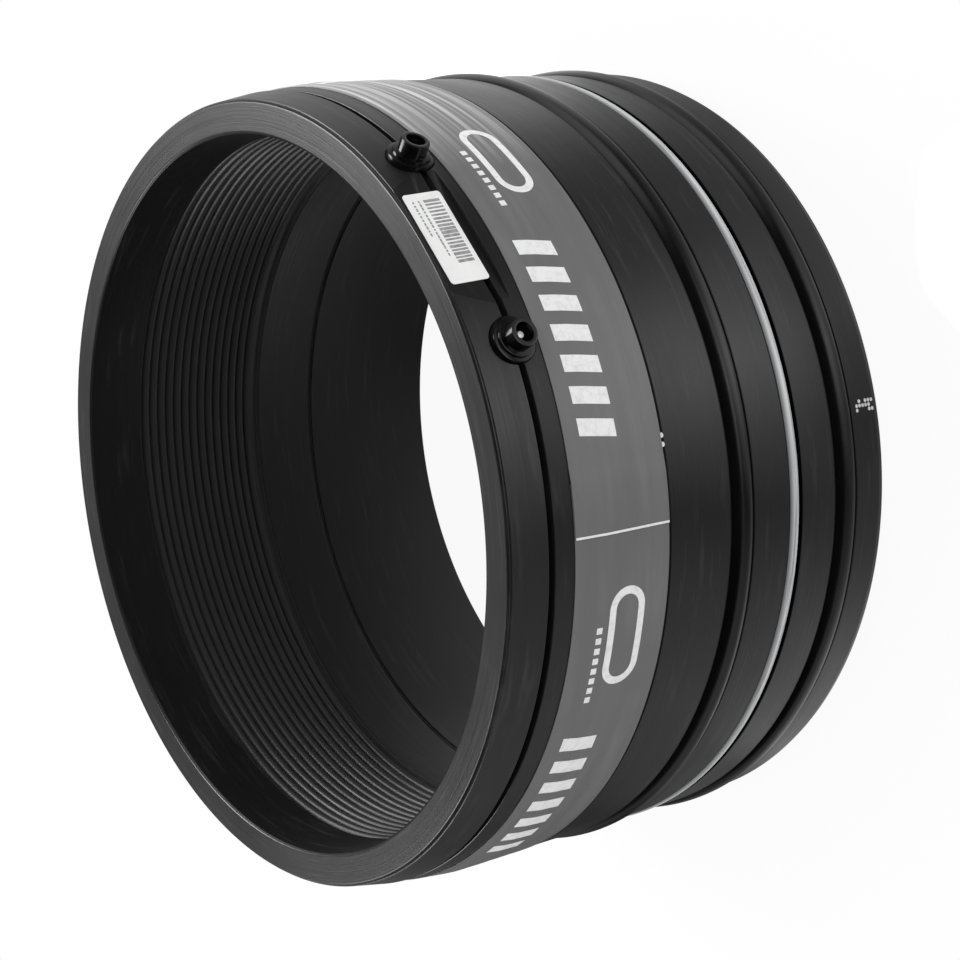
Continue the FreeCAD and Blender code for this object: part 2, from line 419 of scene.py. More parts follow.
body_corners = [
    (bore_radius + bore_mouth_chamfer, rim_height, handled_edge),
    (rim_radius - rim_chamfer, rim_height, handled_edge),
    (rim_radius, rim_height - rim_chamfer, turned_edge),
    (rim_radius, rim_ring_foot, inside_corner),
    (rim_radius + rim_ring_step, rim_ring_foot, fine_edge),
    (band_end_radius, lead_groove_top, handled_edge),
    (lead_groove_floor, lead_groove_top, fine_edge),
    (lead_groove_floor, lead_groove_foot, fine_edge),
    (band_end_radius, lead_groove_foot, handled_edge),
    (barrel_radius, barrel_top, 0),
    *outer_groove(front_seal_middle, seal_groove_width, seal_groove_floor, seal_groove_lower_edge),
    *outer_groove(marker_middle, marker_groove_width, marker_groove_floor, marker_groove_lower_edge),
    *outer_groove(rear_seal_middle, seal_groove_width, seal_groove_floor, seal_groove_lower_edge),
    (barrel_radius, end_chamfer_height, handled_edge),
    (barrel_radius - end_chamfer_depth, 0, turned_edge),
    (far_bore_radius + far_bore_chamfer, 0, fine_edge),
    (far_bore_radius, far_bore_chamfer, fine_edge),
    (far_bore_radius, relief_foot, inside_corner),
    (relief_radius, relief_foot, inside_corner),
    (bore_radius, relief_top, turned_edge),
    (bore_radius, recess_foot, fine_edge),
    (recess_radius, recess_foot, fine_edge),
    (recess_radius, recess_top, fine_edge),
    (bore_radius, recess_top, fine_edge),
    (bore_radius, rim_height - bore_mouth_chamfer, turned_edge),
]
body = placed("body_shell", turned_mesh("body_shell", eased(body_corners), body_steps, body_crispness))

flat_ledge = rim_ring_foot - flat_height
flat_corners = [
    (-flat_radius, rim_ring_foot),
    (-flat_radius - flat_cut_depth, rim_ring_foot),
    (-flat_radius - flat_cut_depth, flat_ledge),
    (-flat_radius - flat_height * math.tan(flat_lean), flat_ledge),
]
planed = bmesh.new()
planed_end = planed.faces.new([planed.verts.new((-flat_cut_reach, y, z)) for y, z in flat_corners])
planed_parts = bmesh.ops.extrude_face_region(planed, geom=[planed_end])["geom"]
pushed(planed, planed_parts, (2 * flat_cut_reach, 0, 0))
bmesh.ops.recalc_face_normals(planed, faces=planed.faces)
flat_mesh = mesh_of("flat_cutter", planed)
flat_mesh.transform(Matrix.Rotation(flat_turn, 4, "Z"))
cut_away(body, flat_mesh)
for angle in terminal_angles.values():
    pocket = bmesh.new()
    bmesh.ops.create_cone(
        pocket, cap_ends=True, segments=terminal_pocket_steps, depth=terminal_pocket_depth,
        radius1=terminal_pocket_radius, radius2=terminal_pocket_radius,
        matrix=pointing_out(angle, terminal_height) @ lifted(terminal_pocket_middle),
    )
    cut_away(body, mesh_of("pocket_cutter", pocket))
body.data.shade_smooth()
body.data.set_sharp_from_angle(angle=math.radians(body_crispness))
body.data.materials.clear()
body.data.materials.append(black_polyethylene())
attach(body, "root")
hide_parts("socket_body")


# Heating coil: resistance wire in a thin black coat, wound as a helix in the recess of the fusion bore.
# Its turns stand bare in the bore as low ridges. Two copper leads, taken to lie in the wall, join its
# ends to the pins.
coil_whole_turns = 14
coil_turns = coil_whole_turns - (terminal_angles["b"] - terminal_angles["a"]) / (2 * math.pi)
coil_ridge_width = 0.0050
coil_ridge_height = 0.0030
coil_crown_foot = 0.0022
coil_crown_half = 0.00165
coil_crown_steps = 4
coil_turn_steps = 220
coil_foot_radius = recess_radius - 0.00005
coil_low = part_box("heating_coil")[0].z + coil_ridge_width / 2
coil_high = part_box("heating_coil")[1].z - coil_ridge_width / 2
coil_sway = 0.00022
coil_crispness = 35
coil_black = (0.0300, 0.0300, 0.0305, 1)
coil_roughness = (0.36, 0.52)
copper_bright = (0.72, 0.43, 0.30, 1)
copper_dull = (0.42, 0.20, 0.12, 1)
copper_roughness = (0.22, 0.45)
copper_lines = (4000.0, 4000.0, 60.0)


def new_tree(name, *inputs):
    """Geometry node group with a mesh in and out and (name, kind) inputs."""
    tree = bpy.data.node_groups.new(name, "GeometryNodeTree")
    tree.interface.new_socket("Mesh", in_out="INPUT", socket_type="NodeSocketGeometry")
    tree.interface.new_socket("Mesh", in_out="OUTPUT", socket_type="NodeSocketGeometry")
    for label, kind in inputs:
        tree.interface.new_socket(label, in_out="INPUT", socket_type="NodeSocket" + kind)
    return tree, add(tree, "NodeGroupInput").outputs


def end_tree(tree, geometry):
    """Close a group with Realize Instances and Set Material."""
    real = add(tree, "GeometryNodeRealizeInstances", ("Geometry", geometry)).outputs[0]
    surface = tree.nodes["Group Input"].outputs["Material"]
    dressed = add(tree, "GeometryNodeSetMaterial", ("Geometry", real), ("Material", surface)).outputs[0]
    add(tree, "NodeGroupOutput", (0, dressed))


def moved_by(tree, geometry, way, label):
    """Move every point of some geometry to a Position or by an Offset."""
    return add(tree, "GeometryNodeSetPosition", ("Geometry", geometry), (label, way)).outputs[0]


def grown(name, tree, mesh=None, **values):
    """New piece made by a node group with these input values, as a plain mesh."""
    piece = placed(name, mesh or bpy.data.meshes.new(name))
    grow = piece.modifiers.new("grow", "NODES")
    grow.node_group = tree
    for socket in tree.interface.items_tree:
        key = socket.name.lower()
        if socket.in_out == "INPUT" and key in values:
            grow[socket.identifier] = values[key]
    plain(piece)
    return piece


def coil_tree():
    """Helical ridge: a spiral with the ridge's section, swaying a little."""
    tree, given = new_tree(
        "coil_ridge", ("Turns", "Float"), ("Steps", "Int"), ("Radius", "Float"), ("Rise", "Float"),
        ("Sway", "Float"), ("Section", "Object"), ("Material", "Material"),
    )
    spiral = add(
        tree, "GeometryNodeCurveSpiral", ("Resolution", given["Steps"]), ("Rotations", given["Turns"]),
        ("Start Radius", given["Radius"]), ("End Radius", given["Radius"]), ("Height", given["Rise"]),
    ).outputs[0]
    upright = add(tree, "GeometryNodeSetCurveNormal", ("Curve", spiral), mode="Z_UP").outputs[0]
    section = add(tree, "GeometryNodeObjectInfo", ("Object", given["Section"])).outputs["Geometry"]
    outline = add(tree, "GeometryNodeMeshToCurve", ("Mesh", section)).outputs[0]
    sockets = (("Curve", upright), ("Profile Curve", outline), ("Fill Caps", True))
    ridge = add(tree, "GeometryNodeCurveToMesh", *sockets).outputs[0]
    place = add(tree, "GeometryNodeInputPosition").outputs[0]
    flow = noise_on(tree, place, scale=34.0, detail=3.0, part="Color")
    middle = (1, (0.5, 0.5, 0.5))
    centred = add(tree, "ShaderNodeVectorMath", (0, flow), middle, operation="SUBTRACT").outputs[0]
    sockets = ((0, centred), ("Scale", given["Sway"]))
    shift = add(tree, "ShaderNodeVectorMath", *sockets, operation="SCALE").outputs[0]
    end_tree(tree, moved_by(tree, ridge, shift, "Offset"))
    return tree


def coated_wire():
    """Satin black coat, faintly beaded, with lines drawn along it."""
    material, tree, place = finish_of("coated_wire")
    drawn = turning_marks(tree, place, around=5.0, across=420.0)
    roughness = ranged(tree, drawn, *noise_span, *coil_roughness)
    beads = noise_on(tree, place, scale=160.0, detail=3.0, roughness=0.6)
    return finished(material, coil_black, roughness, beads, strength=0.5, depth=0.00010)


def drawn_copper():
    """Bright drawn copper wire with dull patches where it was heated."""
    material, tree, place = finish_of("drawn_copper")
    patches = ranged(tree, noise_on(tree, place, scale=240.0, detail=3.0), low=0.4, high=0.6)
    colour = tinted(tree, patches, copper_bright, copper_dull)
    roughness = between(tree, patches, copper_roughness)
    lines = add(tree, "ShaderNodeMapping", ("Vector", place), ("Scale", copper_lines)).outputs[0]
    relief = noise_on(tree, lines, scale=1.0, detail=2.0)
    others = [("Metallic", 1.0)]
    return finished(material, colour, roughness, relief, strength=0.4, depth=0.00002, others=others)


crown_rise = coil_ridge_height - coil_crown_foot
crown_round = (coil_crown_half ** 2 + crown_rise ** 2) / (2 * crown_rise)
crown_reach = math.asin(coil_crown_half / crown_round)
crown_middle = coil_ridge_height - crown_round
ridge_points = [(0, -coil_ridge_width / 2)]
for step in range(2 * coil_crown_steps + 1):
    lean = crown_reach * (step / coil_crown_steps - 1)
    ridge_points.append((crown_middle + crown_round * math.cos(lean), crown_round * math.sin(lean)))
ridge_points.append((0, coil_ridge_width / 2))
ridge_mesh = bpy.data.meshes.new("ridge_section")
ridge_edges = [(i, (i + 1) % len(ridge_points)) for i in range(len(ridge_points))]
ridge_mesh.from_pydata([(r, h, 0) for r, h in ridge_points], ridge_edges, [])
ridge_section = placed("ridge_section", ridge_mesh)
coil = grown(
    "coil_ridges", coil_tree(), turns=coil_turns, steps=coil_turn_steps, radius=coil_foot_radius,
    rise=coil_high - coil_low, sway=coil_sway, section=ridge_section, material=coated_wire(),
)
bpy.data.objects.remove(ridge_section)
coil.data.transform(lifted(coil_low) @ Matrix.Rotation(terminal_angles["b"], 4, "Z"))
tidied(coil.data, coil_crispness)
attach(coil, "root")
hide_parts("heating_coil")
copper = drawn_copper()
for lead in ("coil_lead_start", "coil_lead_return"):
    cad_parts[lead].data.materials.clear()
    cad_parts[lead].data.materials.append(copper)


# Terminals: two stepped sockets of glossy black plastic, each seated on its spot face in the rim band.
# A round tinned contact pin stands in the middle of each one, and a lead is taken to end at its foot.
flange_radius = 0.0123
flange_top = 0.2248
step_radius = 0.0102
step_top = 0.2266
shroud_radius = 0.0076
shroud_mouth = 0.2337
shroud_bore = 0.0050
shroud_floor = 0.2223
pin_radius = 0.0020
pin_root_radius = 0.0026
pin_hole_radius = pin_root_radius + 0.00005
pin_foot = 0.2146
pin_tip = 0.2301
flange_edge = 0.0012
step_edge = 0.0010
shroud_edge = 0.0007
pin_edge = 0.0001
pin_tip_edge = 0.0009
pale_mouth_depth = 0.0006
terminal_steps = 96
terminal_crispness = 28
shroud_black = (0.0016, 0.0016, 0.0018, 1)
shroud_haze = (0.0045, 0.0045, 0.0048, 1)
shroud_mouth_pale = (0.0160, 0.0160, 0.0165, 1)
shroud_roughness = (0.12, 0.24)
shroud_shine = 0.3
tin_bright = (0.88, 0.87, 0.85, 1)
tin_grey = (0.68, 0.67, 0.65, 1)
tin_roughness = (0.36, 0.50)
tin_metal = 0.6


def glossy_moulding():
    """Glossy black moulded plastic with faint flow marks, coloured lighter round its mouth."""
    material, tree, place = finish_of("glossy_moulding")
    flow = noise_on(tree, place, scale=110.0, detail=3.0)
    moulded = tinted(tree, ranged(tree, flow, low=0.4, high=0.65), shroud_black, shroud_haze)
    # The outermost part of the mouth is coloured lighter.
    pale_mouth = past(tree, across_and_up(tree, place)[0], shroud_mouth - pale_mouth_depth, fade=pale_mouth_depth)
    colour = tinted(tree, pale_mouth, moulded, shroud_mouth_pale)
    roughness = ranged(tree, flow, *narrow_span, *shroud_roughness)
    grain = noise_on(tree, place, scale=900.0, detail=2.0)
    others = [("Specular IOR Level", shroud_shine)]
    return finished(material, colour, roughness, grain, strength=0.3, depth=0.00003, others=others)


def tinned_pin():
    """Dull bright tin plate, cloudy from the plating."""
    material, tree, place = finish_of("tinned_pin")
    cloud = noise_on(tree, place, scale=700.0, detail=3.0)
    colour = tinted(tree, ranged(tree, cloud, low=0.45, high=0.7), tin_bright, tin_grey)
    roughness = ranged(tree, cloud, *noise_span, *tin_roughness)
    others = [("Metallic", tin_metal)]
    return finished(material, colour, roughness, cloud, strength=0.3, depth=0.00003, others=others)


shroud_corners = [
    (pin_hole_radius, terminal_seat_radius, 0),
    (flange_radius, terminal_seat_radius, fine_edge),
    (flange_radius, flange_top, flange_edge),
    (step_radius, flange_top, fine_edge),
    (step_radius, step_top, step_edge),
    (shroud_radius, step_top, fine_edge),
    (shroud_radius, shroud_mouth, shroud_edge),
    (shroud_bore, shroud_mouth, handled_edge),
    (shroud_bore, shroud_floor, fine_edge),
    (pin_hole_radius, shroud_floor, 0),
]
pin_corners = [
    (0, pin_foot, 0),
    (pin_root_radius, pin_foot, pin_edge),
    (pin_root_radius, shroud_floor, pin_edge),
    (pin_radius, shroud_floor, pin_edge),
    (pin_radius, pin_tip, pin_tip_edge),
    (0, pin_tip, 0),
]
moulding = glossy_moulding()
tin = tinned_pin()
for letter, angle in terminal_angles.items():
    for kind, corners, slot, finish in (
        ("terminal_shroud_", shroud_corners, "shroud_plastic", moulding),
        ("contact_pin_", pin_corners, "pin_metal", tin),
    ):
        mesh = turned_mesh(kind + letter, eased(corners), terminal_steps, terminal_crispness)
        mesh.transform(pointing_out(angle, terminal_height))
        mesh.materials.append(finish)
        piece = placed("seen_" + kind + letter, mesh)
        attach(piece, "root")
        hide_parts(kind + letter)


# Seal rings: two raised rings of black rubber, with a round crown, seated in their grooves.
# They stand proud of the barrel and are taken to seal against the bore that this end is pushed into.
seal_shoulder_radius = 0.2241
seal_crest_radius = 0.22912
seal_half_width = 0.0078
seal_crest_shift = 0.0012
seal_crown_steps = 18
ring_steps = 480
ring_crispness = 20
rubber_black = (0.0012, 0.0012, 0.0013, 1)
rubber_bloom = (0.0048, 0.0048, 0.0050, 1)
rubber_roughness = (0.20, 0.30)


def crowned_section(low, high, floor, shoulder, crest, shift, steps):
    """Section points of a ring with a flat foot, short sides and two arcs that meet at its crest."""
    rise = crest - shoulder
    top = (low + high) / 2 - shift
    lower = []
    upper = []
    for side, end, points in ((-1, low, lower), (1, high, upper)):
        half = abs(end - top)
        arc = (half * half + rise * rise) / (2 * rise)
        reach = math.asin(min(1, half / arc))
        for step in range(steps + 1):
            lean = reach * step / steps
            points.append((crest - arc * (1 - math.cos(lean)), top + side * arc * math.sin(lean)))
    return [(floor, high), (floor, low)] + lower[::-1] + upper[1:]


def sealing_rubber():
    """Black rubber with a soft sheen and a faint bloom."""
    material, tree, place = finish_of("sealing_rubber")
    bloom = turning_marks(tree, place, around=10.0, across=180.0)
    clouds = noise_on(tree, place, scale=30.0, detail=4.0)
    dusty = product(tree, ranged(tree, bloom, low=0.45, high=0.75), clouds)
    colour = tinted(tree, dusty, rubber_black, rubber_bloom)
    roughness = ranged(tree, bloom, *noise_span, *rubber_roughness)
    grain = noise_on(tree, place, scale=1100.0, detail=3.0)
    return finished(material, colour, roughness, grain, strength=0.3, depth=0.00004)


rubber = sealing_rubber()
for node, middle in (("seal_ring_front", front_seal_middle), ("seal_ring_rear", rear_seal_middle)):
    section = crowned_section(
        middle - seal_half_width, middle + seal_half_width, seal_groove_floor,
        seal_shoulder_radius, seal_crest_radius, seal_crest_shift, seal_crown_steps,
    )
    ring = placed("seen_" + node, turned_mesh(node, section, ring_steps, ring_crispness))
    ring.data.materials.append(rubber)
    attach(ring, "root")
    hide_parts(node)


# Marker ring: a light grey cord of plastic laid in the middle groove, between the seals.
# It is taken as a mark for how far the end is pushed in, and lies close to the groove's upper wall.
marker_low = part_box("marker_ring")[0].z
marker_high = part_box("marker_ring")[1].z
marker_shoulder_radius = 0.2260
marker_crest_radius = 0.2271
marker_crown_steps = 8
# Painted shade on the cord's upper edge: how far in from the edge it starts and how wide it fades.
shaded_edge = 0.0004
shaded_fade = 0.0024
cord_pale = (0.68, 0.69, 0.70, 1)
# Colour for random dirt on the cord and for the painted shade on its upper edge.
cord_dirt_and_painted_shade = (0.21, 0.213, 0.217, 1)
cord_roughness = (0.42, 0.60)


def pale_cord():
    """Matt pale cord, a little dirty in places, with painted shade along its upper edge."""
    material, tree, place = finish_of("pale_cord")
    # Painted shade: the cord's upper edge is painted dark, as the shade of the groove's upper wall.
    painted_shade_on_upper_edge = past(tree, split(tree, place)["Z"], marker_high - shaded_edge - shaded_fade, shaded_fade)
    dirt_and_shade = ranged(tree, turning_marks(tree, place, around=16.0, across=700.0), low=0.42, high=0.72)
    # Random dirt and the painted shade on the upper edge together.
    dirt_and_shade = sums(tree, "MAXIMUM", dirt_and_shade, painted_shade_on_upper_edge)
    colour = tinted(tree, dirt_and_shade, cord_pale, cord_dirt_and_painted_shade)
    roughness = between(tree, dirt_and_shade, cord_roughness)
    fibre = noise_on(tree, place, scale=900.0, detail=3.0)
    return finished(material, colour, roughness, fibre, strength=0.5, depth=0.00006)


marker_section = crowned_section(
    marker_low, marker_high, marker_groove_floor,
    marker_shoulder_radius, marker_crest_radius, 0, marker_crown_steps,
)
marker_mesh = turned_mesh("marker_ring", marker_section, ring_steps, ring_crispness)
marker = placed("seen_marker_ring", marker_mesh)
marker.data.materials.append(pale_cord())
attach(marker, "root")
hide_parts("marker_ring")


# Wrap tape: grey film wound once round the fusion zone and lapped over its own start.
# It follows the taper with a few long, shallow wrinkles.
tape_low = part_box("wrap_tape")[0].z
tape_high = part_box("wrap_tape")[1].z
tape_width = tape_high - tape_low
tape_thickness = 0.0005
tape_wall = tape_thickness * 0.9
tape_end_angle = math.radians(-130.5)
tape_lap_angle = math.radians(7.0)
tape_radius = barrel_radius + tape_thickness
tape_length = tape_radius * (2 * math.pi + tape_lap_angle)
tape_slope = (barrel_radius - band_end_radius) / (lead_groove_foot - barrel_top)
tape_columns = 1200
tape_rows = 31
tape_crispness = 35
lap_end = tape_lap_angle * tape_radius
lap_ease = 0.0080
wrinkle_height = 0.00022
wrinkle_slant = 0.12
wrinkles_along = 6.0
wrinkles_across = 95.0
# Painted highlight: the tape is painted pale in streaks over this stretch along it, and palest over the
# next one.
highlight_side = (0.045, 0.120)
brightest_highlight_side = (0.125, 0.200)
brightest_highlight_share = (0.15, 0.80)
tape_grey = (0.142, 0.142, 0.145, 1)
tape_pale = (0.178, 0.178, 0.181, 1)
# Painted highlight colour on one side of the tape.
tape_painted_highlight = (0.700, 0.700, 0.703, 1)
tape_roughness = (0.42, 0.56)


def bent_round(tree, radius, angle, height):
    """Place at a radius, an angle and a height."""
    x = product(tree, radius, sums(tree, "COSINE", angle))
    y = product(tree, radius, sums(tree, "SINE", angle))
    return point(tree, x, y, height)


def wrap_group():
    """Place of a flat point on the wound tape: X runs along the tape, Y up the body, and Z lifts it."""
    tree = bpy.data.node_groups.new("wrap_on_tape", "GeometryNodeTree")
    tree.interface.new_socket("Flat", in_out="INPUT", socket_type="NodeSocketVector")
    tree.interface.new_socket("Wound", in_out="OUTPUT", socket_type="NodeSocketVector")
    parts = split(tree, add(tree, "NodeGroupInput").outputs["Flat"])
    angle = sums(tree, "ADD", sums(tree, "DIVIDE", parts["X"], tape_radius), tape_end_angle)
    above = sums(tree, "MAXIMUM", sums(tree, "SUBTRACT", parts["Y"], barrel_top))
    taper = product(tree, above, -tape_slope)
    lap = product(tree, short_of(tree, parts["X"], lap_end, lap_ease), tape_thickness)
    slanted = sums(tree, "ADD", parts["Y"], product(tree, parts["X"], wrinkle_slant))
    drawn = point(tree, product(tree, parts["X"], wrinkles_along), product(tree, slanted, wrinkles_across))
    ripple = noise_on(tree, drawn, scale=1.0, detail=2.0)
    ripple = ranged(tree, ripple, low=0.3, high=0.75, new_high=wrinkle_height)
    lift = sums(tree, "ADD", sums(tree, "ADD", parts["Z"], ripple), sums(tree, "ADD", taper, lap))
    wound_place = bent_round(tree, sums(tree, "ADD", lift, barrel_radius), angle, parts["Y"])
    add(tree, "NodeGroupOutput", ("Wound", wound_place))
    return tree


def wound(tree, group, geometry):
    """Move every point of some flat geometry on to the wound tape."""
    place = add(tree, "GeometryNodeInputPosition").outputs[0]
    wrap = add(tree, "GeometryNodeGroup", node_tree=group)
    fill(tree, wrap, ("Flat", place))
    return moved_by(tree, geometry, wrap.outputs["Wound"], "Position")


def tape_tree(group):
    """A long strip, laid flat, then wound round the body."""
    tree, given = new_tree(
        "tape_strip", ("Length", "Float"), ("Width", "Float"), ("Foot", "Float"), ("Columns", "Int"),
        ("Rows", "Int"), ("Material", "Material"),
    )
    strip = add(
        tree, "GeometryNodeMeshGrid", ("Size X", given["Length"]), ("Size Y", given["Width"]),
        ("Vertices X", given["Columns"]), ("Vertices Y", given["Rows"]),
    ).outputs["Mesh"]
    half_way_up = sums(tree, "ADD", given["Foot"], product(tree, given["Width"], 0.5))
    centre = point(tree, product(tree, given["Length"], 0.5), half_way_up)
    laid = add(tree, "GeometryNodeTransform", ("Geometry", strip), ("Translation", centre)).outputs[0]
    end_tree(tree, wound(tree, group, laid))
    return tree


def tape_film():
    """Grey film with a satin face; on one side it is painted pale in streaks, as painted highlights of its
    wrinkles.
    """
    material, tree, place = finish_of("tape_film")
    along = split(tree, place)["X"]
    drawn = turning_marks(tree, place, around=9.0, across=130.0)
    fine = turning_marks(tree, place, around=30.0, across=900.0)
    cloud = ranged(tree, noise_on(tree, place, scale=22.0, detail=3.0), *narrow_span, new_low=0.2)
    film = tinted(tree, product(tree, ranged(tree, drawn, low=0.4, high=0.7), cloud), tape_grey, tape_pale)
    # Painted highlight: pale streaks painted on one side of the tape, stronger further along.
    highlight_streaks = turning_marks(tree, place, around=2.5, across=420.0)
    highlight_streaks = ranged(tree, highlight_streaks, low=0.44, high=0.68, new_low=brightest_highlight_share[0])
    brightest_highlight = ranged(tree, along, *brightest_highlight_side, *brightest_highlight_share)
    painted_highlight = product(tree, ranged(tree, along, *highlight_side), sums(tree, "MAXIMUM", highlight_streaks, brightest_highlight))
    # Paints the highlights into the tape's colour.
    colour = tinted(tree, painted_highlight, film, tape_painted_highlight)
    roughness = ranged(tree, drawn, *noise_span, *tape_roughness)
    relief = sums(tree, "ADD", drawn, product(tree, fine, 0.4))
    return finished(material, colour, roughness, relief, strength=0.7, depth=0.00035)


def walled(piece, thickness):
    """Give an open sheet its wall outwards, as one closed mesh."""
    wall = piece.modifiers.new("wall", "SOLIDIFY")
    wall.thickness = thickness
    wall.offset = 1
    plain(piece)
    tidied(piece.data, tape_crispness)


tape_wrap = wrap_group()
tape = grown(
    "seen_wrap_tape", tape_tree(tape_wrap), length=tape_length, width=tape_width, foot=tape_low,
    columns=tape_columns, rows=tape_rows, material=tape_film(),
)
walled(tape, tape_wall)
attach(tape, "root")
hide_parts("wrap_tape")


# Print on the tape: plain white marks in screen ink, the same group again and again along the film.
# Each group has seven bold slanted blocks, a long open ring and a row of small squares. A white line
# marks the lap.
groups = 5
group_pitch = math.radians(73.15) * tape_radius
first_group = math.radians(11.9) * tape_radius
print_lift = tape_thickness + 0.00001
print_thickness = 0.00004
blocks = 7
block_width = 0.0088
block_height = 0.0225
block_pitch = math.radians(4.06) * tape_radius
block_slant = 0.0030
blocks_foot = tape_low + 0.0285
ring_middle = (math.radians(41.6) * tape_radius, tape_low + 0.0265)
ring_half_length = 0.0270
ring_outside = 0.0115
ring_line = 0.0042
ring_turns = 96
squares = 8
square_side = 0.0034
square_pitch = 0.0056
squares_start = math.radians(32.8) * tape_radius
squares_foot = tape_low + 0.0420
slice_step = 0.0020
lap_line_start = 0.0001
lap_line_width = 0.0012
lap_line_margin = 0.0002
ink_white = (0.88, 0.88, 0.88, 1)
ink_thin = (0.70, 0.70, 0.70, 1)
ink_roughness = (0.38, 0.50)


def slanted_block(work, along, foot, width, height, slant, lift):
    """One flat block whose upper edge is shifted along by its slant."""
    corners = (
        (along, foot), (along + width, foot),
        (along + width + slant, foot + height), (along + slant, foot + height),
    )
    work.faces.new([work.verts.new((x, y, lift)) for x, y in corners])


def open_ring(work, middle, half_length, outside, line, steps, lift):
    """Flat open ring with round ends and straight sides."""
    rows = []
    for step in range(steps):
        turn = 2 * math.pi * (step + 0.5) / steps
        end = middle[0] + math.copysign(half_length - outside, math.cos(turn))
        rows.append([
            work.verts.new((end + r * math.cos(turn), middle[1] + r * math.sin(turn), lift))
            for r in (outside, outside - line)
        ])
    for step in range(steps):
        first, second = rows[step], rows[(step + 1) % steps]
        work.faces.new((first[0], second[0], second[1], first[1]))


def sliced(work, across, first, step):
    """Cut flat faces at every step along the tape or across it, so that they can follow its wrinkles."""
    reach = [v.co[across] for v in work.verts]
    direction = Vector((1 - across, across, 0))
    at = first + step * math.ceil((min(reach) - first) / step)
    while at < max(reach):
        parts = work.verts[:] + work.edges[:] + work.faces[:]
        bmesh.ops.bisect_plane(work, geom=parts, plane_co=direction * at, plane_no=direction, dist=1e-7)
        at += step


def screen_ink():
    """White ink, thin and mottled in places."""
    material, tree, place = finish_of("screen_ink")
    thin = ranged(tree, noise_on(tree, place, scale=300.0, detail=4.0, roughness=0.65), low=0.45, high=0.75)
    colour = tinted(tree, thin, ink_white, ink_thin)
    roughness = between(tree, thin, ink_roughness)
    return finished(material, colour, roughness, thin, strength=0.3, depth=0.00002)


def print_tree(group):
    """Copies of a flat group of marks along the tape, wound on to it."""
    tree, given = new_tree(
        "tape_print", ("Groups", "Int"), ("Pitch", "Float"), ("Start", "Float"), ("Material", "Material")
    )
    line = add(
        tree, "GeometryNodeMeshLine", ("Count", given["Groups"]),
        ("Start Location", point(tree, given["Start"])), ("Offset", point(tree, given["Pitch"])),
    ).outputs[0]
    sockets = (("Points", line), ("Instance", given["Mesh"]))
    copies = add(tree, "GeometryNodeInstanceOnPoints", *sockets).outputs[0]
    real = add(tree, "GeometryNodeRealizeInstances", ("Geometry", copies)).outputs[0]
    end_tree(tree, wound(tree, group, real))
    return tree


ink = screen_ink()
marks = bmesh.new()
for index in range(blocks):
    along = index * block_pitch
    slanted_block(marks, along, blocks_foot, block_width, block_height, block_slant, print_lift)
open_ring(marks, ring_middle, ring_half_length, ring_outside, ring_line, ring_turns, print_lift)
for index in range(squares):
    along = squares_start + index * square_pitch
    slanted_block(marks, along, squares_foot, square_side, square_side, 0, print_lift)
sliced(marks, 0, 0, slice_step)
sliced(marks, 1, tape_low, slice_step)
printed = grown(
    "tape_marks", print_tree(tape_wrap), mesh_of("print_group", marks), groups=groups,
    pitch=group_pitch, start=first_group, material=ink,
)
walled(printed, print_thickness)
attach(printed, "root")

lap_line = bmesh.new()
lap_line_foot = tape_low + lap_line_margin
lap_line_height = tape_width - 2 * lap_line_margin
slanted_block(lap_line, lap_line_start, lap_line_foot, lap_line_width, lap_line_height, 0, print_lift)
sliced(lap_line, 1, tape_low, slice_step)
lap = grown(
    "tape_lap_line", print_tree(tape_wrap), mesh_of("lap_line", lap_line), groups=1, pitch=0.0,
    start=0.0, material=ink,
)
walled(lap, print_thickness)
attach(lap, "root")


# Label: coated white paper with rounded corners, stuck on the leaning flat between the terminals.
# Thermal print fills a column with grey bars and two rows with short dashes, and leaves one end bare.
label_length = 0.0570
label_width = 0.0222
label_from_ring = 0.0024
label_thickness = 0.00025
label_corner = 0.0020
label_corner_steps = 8
label_crispness = 30
print_margin = 0.0032
print_height = 0.00003
paper_white = (0.90, 0.90, 0.895, 1)
paper_worn = (0.84, 0.84, 0.83, 1)
paper_roughness = (0.40, 0.55)
print_grey = (0.24, 0.24, 0.245, 1)
print_faded = (0.40, 0.40, 0.405, 1)
print_roughness = (0.45, 0.60)
label_place = (
    Matrix.Rotation(flat_turn, 4, "Z") @ Matrix.Translation((0, -flat_radius, rim_ring_foot))
    @ Matrix.Rotation(-flat_lean, 4, "X") @ lifted(-label_from_ring - label_width)
)


def coated_paper():
    """White coated paper, a little uneven."""
    material, tree, place = finish_of("coated_paper")
    cloud = ranged(tree, noise_on(tree, place, scale=120.0, detail=4.0), low=0.4, high=0.75)
    colour = tinted(tree, cloud, paper_white, paper_worn)
    roughness = between(tree, cloud, paper_roughness)
    fibre = noise_on(tree, place, scale=1400.0, detail=3.0)
    return finished(material, colour, roughness, fibre, strength=0.3, depth=0.00002)


def thin_print(name, full, faded, scale, low):
    """Matt ink that fades between two colours in patches."""
    material, tree, place = finish_of(name)
    fade = ranged(tree, noise_on(tree, place, scale, detail=3.0), low, high=0.7)
    return finished(material, tinted(tree, fade, full, faded), between(tree, fade, print_roughness))


def rounded_plate(half_length, width, corner, thickness, steps):
    """Thin plate standing on the X axis, its face towards -Y, with rounded corners."""
    outline = []
    for x, z, start in (
        (half_length - corner, width - corner, 0), (corner - half_length, width - corner, 90),
        (corner - half_length, corner, 180), (half_length - corner, corner, 270),
    ):
        for step in range(steps + 1):
            turn = math.radians(start + 90 * step / steps)
            outline.append((x + corner * math.cos(turn), z + corner * math.sin(turn)))
    work = bmesh.new()
    front = work.faces.new([work.verts.new((x, -thickness, z)) for x, z in outline])
    back_parts = bmesh.ops.extrude_face_region(work, geom=[front])["geom"]
    pushed(work, back_parts, (0, thickness, 0))
    return mesh_of("label_plate", work)


